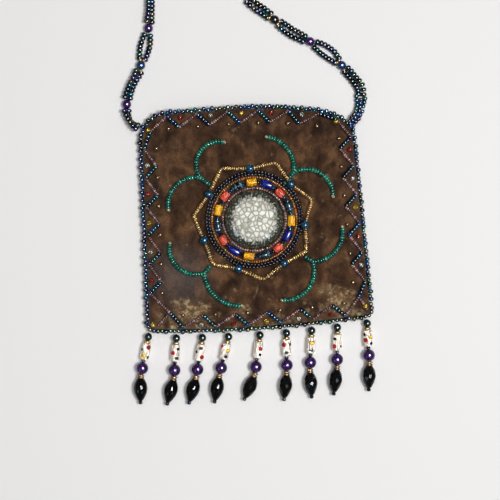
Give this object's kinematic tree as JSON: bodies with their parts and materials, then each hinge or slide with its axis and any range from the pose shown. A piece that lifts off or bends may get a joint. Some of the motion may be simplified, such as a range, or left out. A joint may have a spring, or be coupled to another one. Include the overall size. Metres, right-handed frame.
{
  "type": "beaded purse",
  "caption": "Small flat cloth neck purse with a seed-bead edge, zigzag border and glass cabochon medallion, a fringe of swinging bead drops and a beaded strap",
  "frame": {"origin": "The middle of the flat back that the purse lies on, level with the medallion's centre.", "axes": "+X to the wearer's left across the front, +Y up from the medallion to the mouth, +Z out of the front."},
  "size_m": [0.1258, 0.2772, 0.0166],
  "materials": {
    "cloth": "short pile, matte",
    "edge_glass": "iris glass",
    "zigzag_glass": "iris glass",
    "cabochon_glass": "polished, crackled inside",
    "rose_glass": "gloss",
    "tube_glaze": "gloss glaze in four colours",
    "amber_glass": "gloss",
    "black_glass": "gloss",
    "gold_glass": "gold-lined",
    "blue_glass": "gloss",
    "green_glass": "gloss",
    "pearl_glass": "pearl lustre",
    "white_glaze": "gloss glaze with painted dots",
    "purple_glass": "pearl lustre",
    "jet_glass": "polished facets"
  },
  "bodies": {
    "purse": {"front_panel": "cloth", "back_panel": "cloth", "edge_beading": "edge_glass", "zigzag_beading": "zigzag_glass", "cabochon": "cabochon_glass", "bezel_beading": "rose_glass", "tube_bead_ring": "tube_glaze", "amber_beading": "amber_glass", "black_beading": "black_glass", "star_beading": "gold_glass", "star_bead_1": "blue_glass", "star_bead_2": "blue_glass", "star_bead_3": "blue_glass", "star_bead_4": "blue_glass", "star_bead_5": "blue_glass", "star_bead_6": "blue_glass", "star_bead_7": "blue_glass", "vine_1": "green_glass", "vine_2": "green_glass", "vine_3": "green_glass", "vine_4": "green_glass", "strap_left": "edge_glass", "strap_right": "edge_glass", "strap_coil": "edge_glass"},
    "drop_1": {"drop_1_string": "pearl_glass", "drop_1_tube": "white_glaze", "drop_1_pearl": "purple_glass", "drop_1_bicone": "jet_glass"},
    "drop_2": {"drop_2_string": "pearl_glass", "drop_2_tube": "white_glaze", "drop_2_pearl": "purple_glass", "drop_2_bicone": "jet_glass"},
    "drop_3": {"drop_3_string": "pearl_glass", "drop_3_tube": "white_glaze", "drop_3_pearl": "purple_glass", "drop_3_bicone": "jet_glass"},
    "drop_4": {"drop_4_string": "pearl_glass", "drop_4_tube": "white_glaze", "drop_4_pearl": "purple_glass", "drop_4_bicone": "jet_glass"},
    "drop_5": {"drop_5_string": "pearl_glass", "drop_5_tube": "white_glaze", "drop_5_pearl": "purple_glass", "drop_5_bicone": "jet_glass"},
    "drop_6": {"drop_6_string": "pearl_glass", "drop_6_tube": "white_glaze", "drop_6_pearl": "purple_glass", "drop_6_bicone": "jet_glass"},
    "drop_7": {"drop_7_string": "pearl_glass", "drop_7_tube": "white_glaze", "drop_7_pearl": "purple_glass", "drop_7_bicone": "jet_glass"},
    "drop_8": {"drop_8_string": "pearl_glass", "drop_8_tube": "white_glaze", "drop_8_pearl": "purple_glass", "drop_8_bicone": "jet_glass"},
    "drop_9": {"drop_9_string": "pearl_glass", "drop_9_tube": "white_glaze", "drop_9_pearl": "purple_glass", "drop_9_bicone": "jet_glass"}
  },
  "joints": [
    {"name": "drop_1_swing", "type": "hinge", "parent": "purse", "child": "drop_1", "pos_m": [-0.05563, -0.05174, 0.0035], "axis": [-1, 0, 0], "range_deg": [-90, 90]},
    {"name": "drop_2_swing", "type": "hinge", "parent": "purse", "child": "drop_2", "pos_m": [-0.04205, -0.05336, 0.0035], "axis": [-1, 0, 0], "range_deg": [-90, 90]},
    {"name": "drop_3_swing", "type": "hinge", "parent": "purse", "child": "drop_3", "pos_m": [-0.02869, -0.05409, 0.0035], "axis": [-1, 0, 0], "range_deg": [-90, 90]},
    {"name": "drop_4_swing", "type": "hinge", "parent": "purse", "child": "drop_4", "pos_m": [-0.01531, -0.05454, 0.0035], "axis": [-1, 0, 0], "range_deg": [-90, 90]},
    {"name": "drop_5_swing", "type": "hinge", "parent": "purse", "child": "drop_5", "pos_m": [0.00013, -0.05473, 0.0035], "axis": [-1, 0, 0], "range_deg": [-90, 90]},
    {"name": "drop_6_swing", "type": "hinge", "parent": "purse", "child": "drop_6", "pos_m": [0.013, -0.05459, 0.0035], "axis": [-1, 0, 0], "range_deg": [-90, 90]},
    {"name": "drop_7_swing", "type": "hinge", "parent": "purse", "child": "drop_7", "pos_m": [0.02587, -0.05421, 0.0035], "axis": [-1, 0, 0], "range_deg": [-90, 90]},
    {"name": "drop_8_swing", "type": "hinge", "parent": "purse", "child": "drop_8", "pos_m": [0.03872, -0.05357, 0.0035], "axis": [-1, 0, 0], "range_deg": [-90, 90]},
    {"name": "drop_9_swing", "type": "hinge", "parent": "purse", "child": "drop_9", "pos_m": [0.05361, -0.05252, 0.0035], "axis": [-1, 0, 0], "range_deg": [-90, 90]}
  ]
}
